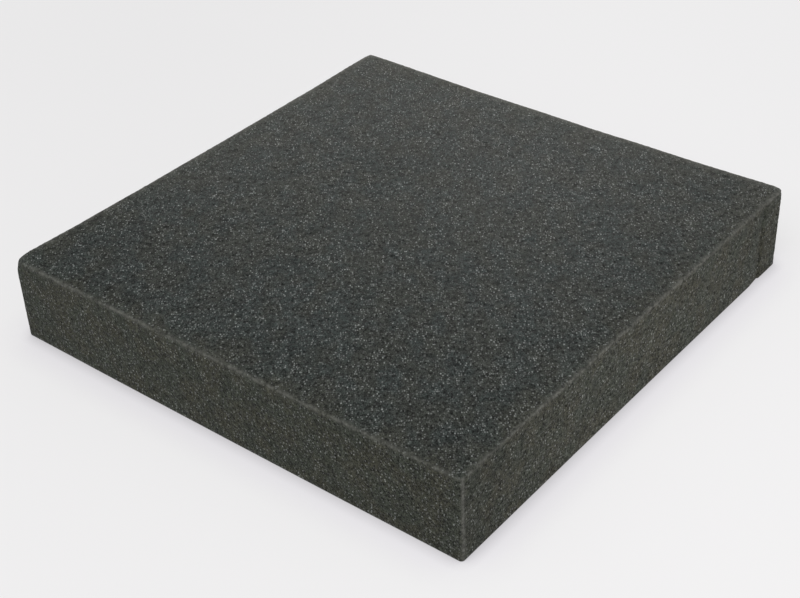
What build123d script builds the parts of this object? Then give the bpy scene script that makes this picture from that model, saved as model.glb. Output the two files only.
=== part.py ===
from build123d import *
import os

# A block of dark open-cell foam, knife-cut from a thick sheet.
# It lies flat: +Z is the thickness, +X and +Y are the two cut lengths.
# The cut sides are not quite straight, and one of them ends in a step.

# Overall sizes
width = 300.0  # along X, up to the cut face beside the strip
depth = 302.5  # along Y
thickness = 50.0  # along Z

# How far the knife wandered at the middle of each side
front_swell = 0.5  # the -Y side bulges outwards
right_hollow = 0.25  # the +X side is hollow
back_hollow = 2.4  # the +Y side is hollow
left_hollow = 1.8  # the -X side is hollow

# Upright corners, worn round by handling
near_corner_radius = 2.0  # between the -Y and +X sides
right_corner_radius = 2.2  # between the +X and +Y sides
back_corner_radius = 1.0  # between the +Y and -X sides
left_corner_radius = 1.5  # between the -X and -Y sides

# The strip left standing at the +Y end of the +X side, where a second cut met the first
strip_length = 20.2
strip_proud = 0.15  # beyond the cut face
step_run = 1.0  # along Y, from the crease up to the strip
dip_depth = 0.75  # the first cut dives before it meets the strip
dip_length = 9.6

# Softness of the cut edges round the top and the underside
edge_radius = 0.6


def cut_side(start, end, bow):
    """One side as a shallow arc from start to end, bowed to the right of the way it runs."""
    chord = end - start
    outwards = Vector(chord.Y, -chord.X).normalized()
    return ThreePointArc(start, (start + end) / 2 + outwards * bow, end)


# Corners of the plan, in the order in which the outline runs
half_width = width / 2
half_depth = depth / 2
strip_x = half_width + strip_proud
crease_y = half_depth - strip_length

left_corner = Vector(-half_width, -half_depth)
near_corner = Vector(half_width, -half_depth)
dip_start = Vector(half_width, crease_y - dip_length)
crease = Vector(half_width - dip_depth, crease_y)
strip_start = Vector(strip_x, crease_y + step_run)
right_corner = Vector(strip_x, half_depth)
back_corner = Vector(-half_width, half_depth)

outline = Curve() + [
    cut_side(left_corner, near_corner, front_swell),
    cut_side(near_corner, dip_start, -right_hollow),
    Line(dip_start, crease),
    Line(crease, strip_start),
    Line(strip_start, right_corner),
    cut_side(right_corner, back_corner, -back_hollow),
    cut_side(back_corner, left_corner, -left_hollow),
]
plan = make_face(outline)

# Round the four upright corners
corner_radii = [
    (left_corner, left_corner_radius),
    (near_corner, near_corner_radius),
    (right_corner, right_corner_radius),
    (back_corner, back_corner_radius),
]
for corner, radius in corner_radii:
    nearest = plan.vertices().sort_by_distance(corner)[0]
    plan = fillet(nearest, radius)

# Raise the plan to the sheet's thickness and soften its edges
foam_block = extrude(plan, thickness)
cut_edges = foam_block.faces().sort_by(Axis.Z)[-1].edges() + foam_block.faces().sort_by(Axis.Z)[0].edges()
foam_block = fillet(cut_edges, edge_radius)

# Stand the block on the middle of its own box
middle = foam_block.bounding_box().center()
foam_block = Pos(-middle.X, -middle.Y) * foam_block

os.makedirs("parts", exist_ok=True)
export_step(foam_block, "parts/foam_block.step")

size = foam_block.bounding_box().size
print(f"foam_block {size.X:.2f} x {size.Y:.2f} x {size.Z:.2f} mm, {foam_block.volume / 1000:.1f} cm3")
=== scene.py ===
# %% [markdown]
# # A block of charcoal foam
#
# The object is one flat block of dark open-cell foam, cut from a thick sheet with a long knife.
# There is nothing to assemble, so the whole lesson is about one surface: a plain box that has to
# look soft, porous and hand-cut instead of like a painted brick.
# The solid from the CAD stays the reference for size and place. We dress it with a finer skin.

# %% Load the CAD frame
from math import cos, radians, sin

import bmesh
import bpy
import numpy as np
from mathutils import Matrix, Vector, noise
from mathutils.bvhtree import BVHTree


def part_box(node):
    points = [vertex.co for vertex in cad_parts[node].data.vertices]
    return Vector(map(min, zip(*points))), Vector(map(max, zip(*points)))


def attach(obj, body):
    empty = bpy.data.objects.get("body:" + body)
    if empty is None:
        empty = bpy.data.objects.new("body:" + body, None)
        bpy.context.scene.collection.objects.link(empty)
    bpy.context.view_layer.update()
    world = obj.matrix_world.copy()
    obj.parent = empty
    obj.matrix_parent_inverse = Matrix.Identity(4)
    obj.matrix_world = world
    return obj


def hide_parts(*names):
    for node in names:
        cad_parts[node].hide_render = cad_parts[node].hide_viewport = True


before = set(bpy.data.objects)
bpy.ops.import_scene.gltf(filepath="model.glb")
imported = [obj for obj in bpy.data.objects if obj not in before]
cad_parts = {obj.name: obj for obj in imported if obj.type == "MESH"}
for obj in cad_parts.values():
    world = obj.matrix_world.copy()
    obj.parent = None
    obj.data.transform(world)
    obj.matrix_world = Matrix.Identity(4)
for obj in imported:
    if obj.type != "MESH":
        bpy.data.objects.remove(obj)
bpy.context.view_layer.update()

MM = 0.001
low, high = (np.array(corner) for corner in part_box("foam_block"))
size, middle = high - low, (low + high) / 2
print("CAD block, mm:", np.round(size / MM, 2))

# %% [markdown]
# ## The camera
#
# The photograph looks down on one corner of the block. The block's straight edges give the view away:
# where they run together tells the lens, and how they lean tells the angle.
# The camera is placed by two angles, a distance and a small slide in its own picture plane,
# and it is rolled a little, because it was not held quite level.

# %% Camera at the photograph's viewing angle
azimuth, elevation, roll = radians(39.85), radians(35.02), radians(-2.39)
distance = 860.4 * MM
slide_right, slide_up = -4.25 * MM, -21.07 * MM
aim = Vector((-0.07 * MM, 0.23 * MM, 25.0 * MM))
photo_width = 800
focal_pixels = 1539.0
sensor_width = 36.0

backwards = Vector((sin(azimuth) * cos(elevation), -cos(azimuth) * cos(elevation), sin(elevation)))
level_right = Vector((cos(azimuth), sin(azimuth), 0.0))
level_up = backwards.cross(level_right)
right = level_right * cos(roll) + level_up * sin(roll)
up = level_up * cos(roll) - level_right * sin(roll)

lens = bpy.data.cameras.new("photo_view")
lens.sensor_width = sensor_width
lens.lens = sensor_width * focal_pixels / photo_width
camera = bpy.data.objects.new("photo_view", lens)
stand = aim + backwards * distance + right * slide_right + up * slide_up
turn = Matrix((right, up, backwards)).transposed()
camera.matrix_world = Matrix.Translation(stand) @ turn.to_4x4()
bpy.context.scene.collection.objects.link(camera)
bpy.context.scene.camera = camera
print("lens, mm:", round(lens.lens, 1))

# %% [markdown]
# ## A skin of small squares
#
# Foam gets its look from thousands of cut cells, so the skin needs many small faces to push about.
# A cube of side 1 has its edges subdivided along one direction after the other, which leaves a clean grid
# on all six sides. Later it is stretched to the block's size, with its rows crowded towards the edges,
# because that is where the shape turns.
# Only the underside, which nobody sees, is thinned out again by dissolving most of its lines.

# %% Grid box
pitch = 1.32 * MM
crowding_rows = 2.0
crowding_reach = 3.0
underside_step = 4
wanted_rows = [length / pitch + 2 * crowding_rows for length in size]
rows = [underside_step * round(count / underside_step) for count in wanted_rows]

skin = bmesh.new()
bmesh.ops.create_cube(skin, size=1.0)
bmesh.ops.translate(skin, vec=(0.5, 0.5, 0.5), verts=skin.verts)
for axis in range(3):
    along = [e for e in skin.edges if abs(e.verts[0].co[axis] - e.verts[1].co[axis]) > 0.5]
    bmesh.ops.subdivide_edges(skin, edges=along, cuts=rows[axis] - 1, use_grid_fill=True)
print("rows:", rows, "faces:", len(skin.faces))

# %% Coarser underside


def off_beat(edge):
    """True for a line of the underside that the coarser grid there does without."""
    a, b = edge.verts[0].co, edge.verts[1].co
    if a.z + b.z > 0.5 / rows[2]:
        return False
    across = 1 if abs(a.x - b.x) > abs(a.y - b.y) else 0
    line = round(a[across] * rows[across])
    return 0 < line < rows[across] and line % underside_step > 0


bmesh.ops.dissolve_edges(skin, edges=[e for e in skin.edges if off_beat(e)], use_verts=True)
skin.normal_update()
cut_foam_mesh = bpy.data.meshes.new("cut_foam")
skin.to_mesh(cut_foam_mesh)
skin.free()
triangles = sum(len(face.vertices) - 2 for face in cut_foam_mesh.polygons)
print("skin:", len(cut_foam_mesh.vertices), "vertices,", triangles, "triangles")

# %% [markdown]
# ## Fit the skin to the solid
#
# The knife wandered, so the real sides are slightly hollow and one ends in a crease.
# The CAD solid has all that. Level rays feel for its four walls, the grid is stretched between them,
# and then every point drops onto the nearest point of the solid.
# Dropping a plain grid at once would be shorter, but where a side is hollow, the top's outer rows
# would all land on its rim.

# %% Feel for the walls
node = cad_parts["foam_block"].data
solid = BVHTree.FromPolygons([v.co for v in node.vertices], [p.vertices for p in node.polygons])
feel_count = 1200
corner_room = 6.0 * MM
clear = 10.0 * MM


def wall(axis, side, places):
    """Where the wall at the low (0) or high (1) end of an axis stands, at places along the other one."""
    found = []
    for place in np.clip(places, low[1 - axis] + corner_room, high[1 - axis] - corner_room):
        start, way = Vector(middle.tolist()), Vector((0.0, 0.0, 0.0))
        start[1 - axis] = place
        start[axis] = high[axis] + clear if side else low[axis] - clear
        way[axis] = -1.0 if side else 1.0
        found.append(solid.ray_cast(start, way)[0][axis])
    return np.array(found)


feel = [np.linspace(low[axis], high[axis], feel_count) for axis in range(2)]
walls = [[wall(axis, side, feel[1 - axis]) for side in (0, 1)] for axis in range(2)]
far_half = feel[1] > middle[1]
crease = feel[1][far_half][np.argmin(walls[0][1][far_half])]
print("crease at y, mm:", round(crease / MM, 1))

# %% Stretch the grid between the walls
step_run = 1.0 * MM


def crowded(count):
    """Rows from 0 to 1, evenly spaced but closer together near both ends."""
    from_low = np.arange(count + 1.0)
    from_high = from_low[::-1]
    step = from_low - crowding_rows * (1 - np.exp(-from_low / crowding_reach))
    back = from_high - crowding_rows * (1 - np.exp(-from_high / crowding_reach))
    return step / (step + back)


points = np.empty((len(cut_foam_mesh.vertices), 3))
cut_foam_mesh.vertices.foreach_get("co", points.reshape(-1))
index = np.rint(points * rows).astype(int)
lines = [low[axis] + size[axis] * crowded(rows[axis]) for axis in range(3)]
at_crease = int(np.argmin(np.abs(lines[1] - crease)))
lines[1][at_crease:at_crease + 2] = crease, crease + step_run
flat = np.stack([lines[axis][index[:, axis]] for axis in range(3)], axis=1)
spacing = np.stack([np.gradient(lines[axis])[index[:, axis]] for axis in range(3)], axis=1)
share = (flat - low) / size

formed = flat.copy()
for axis in range(2):
    ends = [np.interp(flat[:, 1 - axis], feel[1 - axis], walls[axis][side]) for side in (0, 1)]
    formed[:, axis] = ends[0] + (ends[1] - ends[0]) * share[:, axis]
formed = np.array([solid.find_nearest(Vector(point))[0] for point in formed.tolist()])
print("moved by up to, mm:", round(np.abs(formed - flat).max() / MM, 2))

# %% Write the points back


def set_points(mesh, places):
    """Moves all points of a mesh."""
    mesh.vertices.foreach_set("co", np.ascontiguousarray(places, dtype=np.float32).reshape(-1))
    mesh.update()


set_points(cut_foam_mesh, formed)
cut_foam = bpy.data.objects.new("cut_foam", cut_foam_mesh)
bpy.context.scene.collection.objects.link(cut_foam)
cut_foam_mesh.shade_smooth()
print("skin box, mm:", np.round((formed.max(0) - formed.min(0)) / MM, 2))

# %% [markdown]
# ## Blunt corners, wandering cuts and open cells
#
# Four things make a cut foam block differ from a box. Its corners are pushed in where hands hold it.
# Its faces wave slightly, because foam gives way under the knife. It is porous: the knife opens
# cells at every depth, so some points of the surface lie deeper than others. And it has two small nicks.
# Each is a small move of the skin's points. The underside is left out, so that it stays flat on the table.
# A Displace modifier could push the points too, but here the amounts are also needed for the finish.

# %% How far each point is from the edges
touching = 0.01 * MM
table_reach = 3.0 * MM
to_walls = np.minimum(flat[:, :2] - low[:2], high[:2] - flat[:, :2])
to_side = to_walls.min(axis=1)
to_upright_edge = to_walls.sum(axis=1)
to_top_edge = to_side + (high[2] - flat[:, 2])
to_bottom_edge = to_side + (flat[:, 2] - low[2])
on_side = to_side < touching
to_edge = np.minimum(to_top_edge, to_bottom_edge)
to_edge = np.where(on_side, np.minimum(to_edge, to_upright_edge), to_edge)
off_table = np.clip((flat[:, 2] - low[2]) / table_reach, 0.0, 1.0)
print("points on an edge:", int((to_edge < touching).sum()))

# %% Blunt corners
blunt_corners = {  # which ends in x and y, how far the tip is pushed in, how far around it that is felt
    "left": ((0, 0), 2.3 * MM, 10.0 * MM),
    "near": ((1, 0), 1.6 * MM, 7.0 * MM),
    "right": ((1, 1), 1.0 * MM, 7.0 * MM),
    "back": ((0, 1), 0.4 * MM, 7.0 * MM),
}
to_corner = {}
for name, (ends, depth, reach) in blunt_corners.items():
    tip = np.array([(low, high)[end][axis] for axis, end in enumerate(ends)] + [high[2]])
    to_corner[name] = np.hypot(flat[:, 0] - tip[0], flat[:, 1] - tip[1])
    inwards = np.array([*np.sign(middle[:2] - tip[:2]), -1.0]) / np.sqrt(3.0)
    nearness = np.clip(1.0 - np.linalg.norm(formed - tip, axis=1) / reach, 0.0, 1.0)
    formed = formed + inwards * (depth * nearness ** 2)[:, None]
    print(f"{name} corner pushed in by {depth / MM:.1f} mm")

# %% Wandering faces and open cells
set_points(cut_foam_mesh, formed)
outwards = np.empty_like(points)
cut_foam_mesh.vertex_normals.foreach_get("vector", outwards.reshape(-1))
chance = np.random.default_rng(20)

wave_length, wave_height = 38.0 * MM, 0.25 * MM
wave = np.array([noise.noise(Vector(point) / wave_length) for point in formed.tolist()])
wave *= wave_height * off_table

pore_depth, pore_rarity = 0.45 * MM, 3  # many shallow cells and a few deep ones
pores_on_edge, pore_edge_reach = 0.15, 1.5 * MM
pore = chance.random(len(points)) ** pore_rarity
pore *= np.clip(pores_on_edge + to_edge / pore_edge_reach, 0.0, 1.0) * off_table
print("deepest pore, mm:", round((pore * pore_depth).max() / MM, 2))

# %% Uneven grid, ragged edges and nicks
nudge_share, nudge_edge_reach = 0.25, 0.4 * MM
nudge = chance.uniform(-nudge_share, nudge_share, points.shape) * spacing * off_table[:, None]
nudge -= outwards * (nudge * outwards).sum(axis=1)[:, None]
nudge *= np.clip(to_edge / nudge_edge_reach, 0.0, 1.0)[:, None]

ragged_height, ragged_reach = 0.05 * MM, 0.6 * MM
ragged = chance.normal(0.0, ragged_height, len(points))
ragged *= np.exp(-(to_edge / ragged_reach) ** 2) * off_table

nicks = np.array([(-79.9, -151.4, 34.9), (150.0, -137.8, 15.5)]) * MM
nick_width, nick_depth = 1.2 * MM, 0.8 * MM
nick = sum(np.exp(-(np.linalg.norm(formed - spot, axis=1) / nick_width) ** 2) for spot in nicks)

push = wave + ragged - (pore - pore.mean()) * pore_depth - nick * nick_depth
sculpted = formed + nudge + outwards * push[:, None]
sculpted[:, 2] = np.maximum(sculpted[:, 2], low[2])
set_points(cut_foam_mesh, sculpted)
print("pushed from", round(push.min() / MM, 2), "to", round(push.max() / MM, 2), "mm")

# %% [markdown]
# ## Marks for the finish
#
# Along its cut edges the foam looks paler: cells are open from two sides there, and torn rims catch light.
# The material paints this paleness into the colour, partly as the torn cells' own tone and partly as painted
# highlight.
# The material can't know where the edges are, so the mesh tells it, in an attribute with one number
# for each point. A second attribute holds how deep each point lies in a pore or a nick, and the material
# darkens the deep points with it: painted shade.
# A third tells the sheet's own faces, above and below, from the knife-cut sides. The material tints the
# sheet's faces a cooler teal and the sides a warmer olive: painted light, standing for the cool light the
# top reflects.
# The sheet's faces turn a little olive themselves towards their rims.
# The marks could be painted by hand, but worked out from distances they follow every change of the shape.

# %% Attributes
rim_share, rim_reach = 0.7, 9.0 * MM
nick_shade = 2.0


def mark(mesh, name, values):
    """Stores one number for each point of a mesh, for its material to read."""
    layer = mesh.attributes.new(name, "FLOAT", "POINT")
    layer.data.foreach_set("value", np.ascontiguousarray(values, dtype=np.float32))


on_sheet = ~on_side | (to_top_edge < touching)
# the sheet's faces, for their painted cool tint, which fades towards their rims
mark(cut_foam_mesh, "sheet_face", on_sheet * (1.0 - rim_share * np.exp(-to_top_edge / rim_reach)))
# for painted shade: pore depth, and the nicks at twice their strength, darken the colour
mark(cut_foam_mesh, "pore", np.maximum(pore, nick_shade * nick))
print("points on the sheet's faces:", int(on_sheet.sum()))

# %% [markdown]
# The pale lines are not the same all round. The two top edges in front have narrow ones. Those behind,
# seen almost flat, have wider ones. At the blunt left corner the line nearly fades out, at the near corner
# it fades a little, and at the right corner it is stronger. The near corner's upright edge has a line too,
# and round the foot of the block there is hardly any.

# %% Pale lines along the top
steepness = 1.3
front_strength, back_strength = 1.1, 1.15
front_width, back_width = 1.25 * MM, 2.4 * MM
corner_changes = {  # how much stronger or weaker the line is at a corner, and how far along that is seen
    "left": (-0.8, 8.0 * MM),
    "near": (-0.3, 20.0 * MM),
    "right": (0.5, 25.0 * MM),
}


def band(distance, width):
    """1 on a line, falling to 0 on both sides of it, steeply at first."""
    return np.exp(-np.abs(distance / width) ** steepness)


to_front = np.minimum(high[0] - flat[:, 0], flat[:, 1] - low[1])
in_front = to_front <= to_side
strength = np.where(in_front, front_strength, back_strength)
for name, (change, reach) in corner_changes.items():
    strength *= 1.0 + change * band(to_corner[name], reach)
top_line = strength * band(to_top_edge, np.where(in_front, front_width, back_width))
print("points in the top's pale lines:", int((top_line > 0.5).sum()))

# %% Pale lines down the near corner and round the foot
near_strength, near_offset, near_width, near_limit = 1.5, 1.2 * MM, 1.1 * MM, 40.0 * MM
foot_strength, foot_width = 0.2, 1.0 * MM
around_corner = (flat[:, 1] - low[1]) - (high[0] - flat[:, 0])
by_near_corner = on_side & (to_corner["near"] < near_limit)
near_line = near_strength * band(around_corner - near_offset, near_width) * by_near_corner
foot_line = foot_strength * band(to_bottom_edge, foot_width)
# the pale lines: partly the torn cells' own paleness, partly painted highlight
torn_edge_and_highlight = np.maximum.reduce([top_line, near_line, foot_line])
mark(cut_foam_mesh, "torn_edge_and_highlight", torn_edge_and_highlight)
print("points in all pale lines:", int((torn_edge_and_highlight > 0.5).sum()))

# %% [markdown]
# ## An unfolded map
#
# When the block is exported, its finish is painted onto one square picture. Blender can unfold a mesh
# by itself, but a box unfolds better with its sides listed one by one: the top gets the most room, two sides
# stand beside it, two lie above it, and the underside, which nobody sees, is drawn at a third of its size in
# the last corner.

# %% Where each side goes
gap = 2.0 * MM
sheet, strip = max(size[0], size[1]) + gap, size[2] + gap
map_size = sheet + 2 * strip
small = (2 * strip - gap) / (sheet - gap)
x, y, z = (flat - low).T
x_back, y_back = size[0] - x, size[1] - y
unfolded = {  # axis and end of each face, with its places on the map
    (2, 1): (x, y),
    (2, 0): (sheet + small * x_back, sheet + small * y),
    (1, 0): (x, sheet + z),
    (1, 1): (x_back, sheet + strip + z),
    (0, 1): (sheet + z, y_back),
    (0, 0): (sheet + strip + z, y),
}
print("map is", round(map_size / MM), "mm wide, with the underside at", round(small, 2), "of its size")

# %% Unfolded map
corner_point = np.empty(len(cut_foam_mesh.loops), dtype=np.int32)
cut_foam_mesh.loops.foreach_get("vertex_index", corner_point)
first_corner = np.empty(len(cut_foam_mesh.polygons), dtype=np.int32)
cut_foam_mesh.polygons.foreach_get("loop_start", first_corner)
corner_count = np.diff(np.append(first_corner, len(corner_point)))
places = np.zeros((len(corner_point), 2))
for (axis, end), (across, along) in unfolded.items():
    on_face = (index[:, axis] == end * rows[axis])[corner_point]
    whole = np.repeat(np.logical_and.reduceat(on_face, first_corner), corner_count)
    places[whole] = np.stack([across, along], axis=1)[corner_point[whole]]
places = (places + gap / 2) / map_size
unfolded_map = cut_foam_mesh.uv_layers.new(name="OFBake")
unfolded_map.uv.foreach_set("vector", places.astype(np.float32).reshape(-1))
print("map used from", places.min(0).round(3), "to", places.max(0).round(3))

# %% [markdown]
# ## Shader maths as Python
#
# Node materials are sums and products, and those read best as expressions.
# `Signal` wraps an output socket, and its operators add Math nodes. `Finish.node` makes any other node.

# %% A socket that can be added and multiplied


class Signal:
    """An output socket. Arithmetic on it adds Math nodes."""

    def __init__(self, finish, socket):
        self.finish = finish
        self.socket = socket

    def math(self, operation, *terms):
        return self.finish.node("ShaderNodeMath", {"operation": operation}, terms)

    def __add__(self, other):
        return self.math("ADD", self, other)

    def __sub__(self, other):
        return self.math("SUBTRACT", self, other)

    def __rsub__(self, other):
        return self.math("SUBTRACT", other, self)

    def __mul__(self, other):
        return self.math("MULTIPLY", self, other)

    def __pow__(self, other):
        return self.math("POWER", self, other)

    __radd__ = __add__
    __rmul__ = __mul__


# %% A material that makes its own nodes


class Finish:
    """The nodes of a material or a world while they are being made."""

    def __init__(self, owner):
        owner.use_nodes = True
        self.owner = owner
        self.tree = owner.node_tree
        self.tree.nodes.clear()

    def node(self, kind, settings=None, inputs=(), output=0):
        """Adds a node, applies its settings, fills its sockets by name or number, and returns an output."""
        made = self.tree.nodes.new(kind)
        for key, value in (settings or {}).items():
            setattr(made, key, value)
        for key, value in inputs.items() if isinstance(inputs, dict) else enumerate(inputs):
            if isinstance(value, Signal):
                self.tree.links.new(value.socket, made.inputs[key])
            else:
                made.inputs[key].default_value = value
        return Signal(self, made.outputs[output]) if len(made.outputs) else None

    def step(self, value, start, end):
        """0 below start, 1 above end and a smooth rise between them."""
        inputs = {"Value": value, "From Min": start, "From Max": end}
        return self.node("ShaderNodeMapRange", {"interpolation_type": "SMOOTHSTEP"}, inputs)

    def vector(self, operation, *terms, **named):
        """A Vector Math node, for colours and directions."""
        inputs = {**dict(enumerate(terms)), **named}
        return self.node("ShaderNodeVectorMath", {"operation": operation}, inputs)

    def measure(self, operation, *terms):
        """A Vector Math node that gives a number, such as a length."""
        return self.node("ShaderNodeVectorMath", {"operation": operation}, terms, "Value")

    def blend(self, share, first, second):
        """A colour between two colours."""
        return self.node("ShaderNodeMix", {"data_type": "RGBA"}, {0: share, 6: first, 7: second}, 2)

    def seen_directly(self):
        """1 for rays that show a surface to the camera, straight or by way of a mirror or glass."""
        kinds = ("Is Camera Ray", "Is Glossy Ray", "Is Transmission Ray")
        straight, mirrored, through_glass = (self.node("ShaderNodeLightPath", output=kind) for kind in kinds)
        return straight + mirrored + through_glass


# %% [markdown]
# ## The foam's finish
#
# Seen close, foam is a net of thin struts around open cells. Every cell is a little darker or paler than
# its neighbours. Its middle, the hole, is darkened in the colour as painted shade. Here and there a strut's
# shiny skin would face the light and glint: these glints are painted highlights, small bright dots added
# to the colour. They are thick in some places and thin in others.
# A Voronoi pattern gives each cell its own chance number for that. Its cells are drawn out one way,
# because foam stretches while it rises. A picture of foam would do as well, but its repeats would show.
# Over it all lies a thin veil of light, made of a weak coat and some sheen. It is strongest at flat angles,
# and so the far end of the block looks greyer than the near one.

# %% The foam's own directions
foam = Finish(bpy.data.materials.new("charcoal_foam"))
place = foam.node("ShaderNodeTexCoord", output="Object")
rise = {"Vector": place, "Rotation": (0.0, 0.0, radians(40.0)), "Scale": (1.0, 1.6, 1.3)}
risen_place = foam.node("ShaderNodeMapping", {"vector_type": "TEXTURE"}, rise)


def cells(width, feature, output):
    """One output of a Voronoi pattern with cells about this wide, drawn out as the foam rose."""
    settings = {"voronoi_dimensions": "3D", "feature": feature}
    return foam.node("ShaderNodeTexVoronoi", settings, {"Vector": risen_place, "Scale": 1.0 / width}, output)


def cloud(width, detail, where=risen_place):
    """Soft noise from 0 to 1 with lumps about this wide."""
    inputs = {"Vector": where, "Scale": 1.0 / width, "Detail": detail}
    return foam.node("ShaderNodeTexNoise", {}, inputs, "Fac")


print("the foam is drawn out by", rise["Scale"])

# %% Cells, painted shade in the holes and painted glints
cell_width, glint_width = 1.05 * MM, 0.92 * MM
strut_edge, hole_edge = 0.02, 0.30  # from a cell's wall inwards
glint_core, glint_edge = 0.15, 0.60  # from a spark's middle outwards
glint_rarity = 3.0  # few are bright


def channel(colour, name):
    """One channel of a colour as a number."""
    return foam.node("ShaderNodeSeparateColor", {}, [colour], name)


cell_chance = cells(cell_width, "F1", "Color")
tone = channel(cell_chance, "Red")
# hole: the middle of each cell, used for the bump and for painted shade
hole = foam.step(cells(cell_width, "DISTANCE_TO_EDGE", "Distance"), strut_edge, hole_edge)
# painted glints: bright dots on a few cells, standing for light glinting off strut skins
glint_chance = channel(cells(glint_width, "F1", "Color"), "Green") ** glint_rarity
painted_glint = (1.0 - foam.step(cells(glint_width, "F1", "Distance"), glint_core, glint_edge)) * glint_chance
print("foam nodes for the cells:", len(foam.tree.nodes))

# %% Marks and clouds
mottle_width, cluster_width, cast_width, break_width = 6.0 * MM, 4.5 * MM, 11.0 * MM, 4.0 * MM
thin, thick = 0.35, 0.65
gap_start, gap_end = 0.3, 0.7
least_pale_edge, pale_edge_span = 0.45, 1.1


def attribute(name):
    """One of the numbers that the mesh holds for each of its points."""
    return foam.node("ShaderNodeAttribute", {"attribute_name": name}, output="Fac")


sunk = attribute("pore")
sheet_face = attribute("sheet_face")
side = 1.0 - sheet_face
mottle = cloud(mottle_width, 2.0)
cluster = foam.step(cloud(cluster_width, 2.0), thin, thick)
cast = foam.step(cloud(cast_width, 1.0), thin, thick)
broken = foam.step(cloud(break_width, 3.0, place), gap_start, gap_end)
# the pale lines, broken up by a cloud: the torn cells' own paleness and painted highlight
pale_edge = attribute("torn_edge_and_highlight") * (least_pale_edge + pale_edge_span * broken)
print("foam nodes with the clouds:", len(foam.tree.nodes))

# %% Lightness of the foam
hole_shade = 0.6
darkest_cell = 0.32 + 0.18 * side
tone_span = 1.56 - 0.36 * side
# painted shade: the middle of each cell is darkened by hole_shade
grain = (darkest_cell + tone_span * tone) * (1.0 - hole_shade * hole)
patches = 0.90 + 0.20 * mottle
# painted shade: points deep in a pore or a nick are darker
painted_pore_shade = 0.945 - 0.17 * sunk
lightness = grain * patches * painted_pore_shade
# strength of the painted glints, weaker on the sides and thicker where the cluster cloud is high
painted_glint_strength = (0.21 - 0.06 * side) * (0.6 + 0.8 * cluster) * painted_glint
print("foam nodes with the lightness:", len(foam.tree.nodes))

# %% Colour of the foam
# painted light: cool tints (teal, grey) for the sheet's faces and warm ones (olive, brown) for the sides
olive, brown = (0.0384, 0.0432, 0.0338, 1.0), (0.0422, 0.0430, 0.0318, 1.0)
teal, grey = (0.0308, 0.0384, 0.0368, 1.0), (0.0346, 0.0386, 0.0335, 1.0)
pale_edge_olive = (0.092, 0.094, 0.084)
painted_glint_colour = (0.95, 1.0, 0.98)
pale_edge_cover = 0.75

tint = foam.blend(sheet_face, foam.blend(cast, olive, brown), foam.blend(cast, teal, grey))
surface = foam.vector("SCALE", tint, Scale=lightness)
# the painted glints are added to the foam's colour
surface = foam.vector("ADD", surface, foam.vector("SCALE", painted_glint_colour, Scale=painted_glint_strength))
pale_edge_tone = 0.7 + 0.6 * tone
pale_edge_colour = foam.vector("SCALE", pale_edge_olive, Scale=pale_edge_tone)
# along the lines the colour turns to the pale edge colour, partly the edge's own tone and partly painted
# highlight
surface = foam.blend(pale_edge_cover * pale_edge, surface, pale_edge_colour)
print("foam nodes with the colours:", len(foam.tree.nodes))

# %% Relief of the cells
lean = 0.5
outward = foam.node("ShaderNodeNewGeometry", output="Normal")
leaning = foam.vector("MULTIPLY_ADD", cell_chance, (lean, lean, lean), outward)
leaning = foam.vector("SUBTRACT", leaning, (lean / 2, lean / 2, lean / 2))
leaning = foam.vector("NORMALIZE", leaning)
dent = {"Height": 1.0 - hole, "Strength": 0.5, "Distance": 0.3 * MM, "Normal": leaning}
relief = foam.node("ShaderNodeBump", {}, dent)

foam_inputs = {"Base Color": surface, "Roughness": 0.9, "Normal": relief, "Specular IOR Level": 0.0,
               "Coat Weight": 0.1, "Coat Roughness": 0.42, "Coat IOR": 1.5,
               "Sheen Weight": 0.1, "Sheen Roughness": 0.33}
foam.node("ShaderNodeOutputMaterial", {}, [foam.node("ShaderNodeBsdfPrincipled", {}, foam_inputs)])
cut_foam_mesh.materials.append(foam.owner)
print("foam nodes in all:", len(foam.tree.nodes))

# %% [markdown]
# ## Table
#
# The block lies on a plain pale table. A quarter of what the camera sees of the table is an ordinary white
# surface that takes the block's shadow. The rest is a glow for the camera alone, which keeps the table pale
# and a little brighter towards the window. More light would make it pale too, but would bleach the foam.
# Around the foot of the block, where it hides the sky, the glow fades and turns slightly lilac,
# most of all close to the foam.
# Far out only the glow is left, so that no horizon shows in low views.

# %% Pale table
table_half_width = 4.0
table_mesh = bpy.data.meshes.new("table")
table_grid = bmesh.new()
bmesh.ops.create_grid(table_grid, size=table_half_width)
table_grid.to_mesh(table_mesh)
table_grid.free()
table = bpy.data.objects.new("table", table_mesh)
bpy.context.scene.collection.objects.link(table)
print("table, m:", [round(length, 1) for length in table.dimensions])

# %% Brighter towards the window
window_side = (0.768, 0.641, 0.0)
window_reach, window_gain = 0.22, 0.07
fade_start, fade_end = 0.35, 1.2

paper = Finish(bpy.data.materials.new("pale_table"))
table_place = paper.node("ShaderNodeTexCoord", output="Object")
far_out = paper.step(paper.measure("LENGTH", table_place), fade_start, fade_end)
lit = paper.step(paper.measure("DOT_PRODUCT", table_place, window_side), -window_reach, window_reach)
slope = window_gain * lit - window_gain / 2
print("table nodes for the light:", len(paper.tree.nodes))

# %% Shade around the foot of the block
pale, lilac = (0.88, 0.875, 0.88, 1.0), (0.888, 0.868, 0.909, 1.0)
close_reach, wide_reach = 7.5 * MM, 26.0 * MM
close_shade, hidden_sky = 0.45, 0.6
wide_shade = 0.28 - 0.13 * lit  # less on the window's side


def open_sky(reach):
    """1 in the open, and about half at the foot of a wall that stands within reach."""
    return paper.node("ShaderNodeAmbientOcclusion", {"samples": 8}, {"Distance": reach}, "AO")


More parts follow.
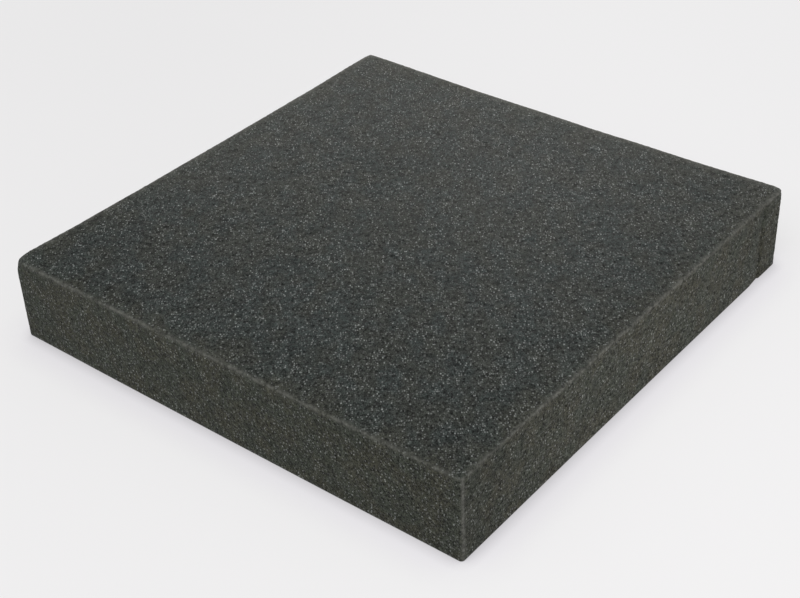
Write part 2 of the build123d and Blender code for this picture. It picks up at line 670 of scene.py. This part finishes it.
sky_close, sky_wide = open_sky(close_reach), open_sky(wide_reach)
shade = close_shade * (1.0 - sky_close) + wide_shade * (1.0 - sky_wide)
glow_strength = (1.0 - shade) * (1.0 + slope * (1.0 - far_out))
glow_colour = paper.blend(paper.step(sky_wide, hidden_sky, 1.0), lilac, pale)
print("table nodes with the shade:", len(paper.tree.nodes))

# %% White surface and glow
glow_nearby = 0.75
matt = paper.node("ShaderNodeBsdfDiffuse", {}, {"Color": pale})
glow = paper.node("ShaderNodeEmission", {}, {"Color": glow_colour, "Strength": glow_strength})
glow_share = (glow_nearby + (1.0 - glow_nearby) * far_out) * paper.seen_directly()
paper.node("ShaderNodeOutputMaterial", {}, [paper.node("ShaderNodeMixShader", {}, [glow_share, matt, glow])])
table_mesh.materials.append(paper.owner)
print("table nodes in all:", len(paper.tree.nodes))

# %% [markdown]
# ## Lamps
#
# Four soft lamps light the block. A big one stands over the long front side. A low spot at the right
# brightens the middle of that side and lets its ends fall off. The other two stand behind, a long strip and
# a spot. They only glance off the top, the strip at its far end and the spot further to the right, and give
# no other light, so their ordinary, diffuse part is switched off.

# %% Lamps for the sides


def hang(name, kind, place, target, watts, colour, **settings):
    """A lamp that faces a target point and isn't seen itself."""
    lamp = bpy.data.lights.new(name, kind)
    lamp.energy = watts
    lamp.color = colour
    for key, value in settings.items():
        setattr(lamp, key, value)
    made = bpy.data.objects.new(name, lamp)
    made.location = place
    made.rotation_euler = (Vector(place) - Vector(target)).to_track_quat("Z", "Y").to_euler()
    made.visible_camera = False
    bpy.context.scene.collection.objects.link(made)
    return made


hang("front_light", "AREA", (0.15, -0.95, 1.2), (0, 0, 0), 13.8, (1.0, 0.995, 0.985), size=1.0)
cone = {"spot_size": radians(18.5), "spot_blend": 1.0, "shadow_soft_size": 0.05}
hang("side_light", "SPOT", (1.5, 0.015, 0.06), (0.15, 0.015, 0.025), 48.0, (1.0, 0.945, 0.945), **cone)
print("lamps for the sides:", len(bpy.data.lights))

# %% Lamps that only glance off the top
long_box = {"shape": "RECTANGLE", "size": 0.7, "size_y": 0.25}
strip_place, strip_target = (-0.26, 0.42, 0.20), (0, 0, 0.05)
strip_light = hang("strip_light", "AREA", strip_place, strip_target, 3.0, (1.0, 0.965, 0.90), **long_box)
wide_cone = {"spot_size": radians(26.0), "spot_blend": 1.0, "shadow_soft_size": 0.1}
glance_place, glance_target = (-0.25, 0.47, 0.42), (0.088, 0.065, 0.05)
glance_light = hang("glance_light", "SPOT", glance_place, glance_target, 2.5, (1.0, 1.0, 1.0), **wide_cone)
for lamp in (strip_light, glance_light):
    lamp.visible_diffuse = False
print("lamps in all:", len(bpy.data.lights))

# %% [markdown]
# ## Surroundings
#
# A plain room lights the block evenly from all round, at about half the strength of white.
# The camera doesn't see that room. It sees a backdrop of the table's own pale colour instead,
# so that table and backdrop run into each other.

# %% World
room_colour, room_light = (1.0, 0.99, 1.0, 1.0), 0.515
world = bpy.data.worlds.new("studio")
bpy.context.scene.world = world
studio = Finish(world)
room = studio.node("ShaderNodeBackground", {}, {"Color": room_colour, "Strength": room_light})
backdrop = studio.node("ShaderNodeBackground", {}, {"Color": pale, "Strength": 1.0})
surroundings = studio.node("ShaderNodeMixShader", {}, [studio.seen_directly(), room, backdrop])
studio.node("ShaderNodeOutputWorld", {}, [surroundings])
bpy.context.scene.view_settings.view_transform = "Standard"
print("world nodes:", len(studio.tree.nodes))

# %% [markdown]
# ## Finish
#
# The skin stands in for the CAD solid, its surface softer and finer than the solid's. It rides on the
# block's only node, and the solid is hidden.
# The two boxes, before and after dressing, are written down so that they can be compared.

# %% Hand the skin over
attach(cut_foam, "root")
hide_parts("foam_block")
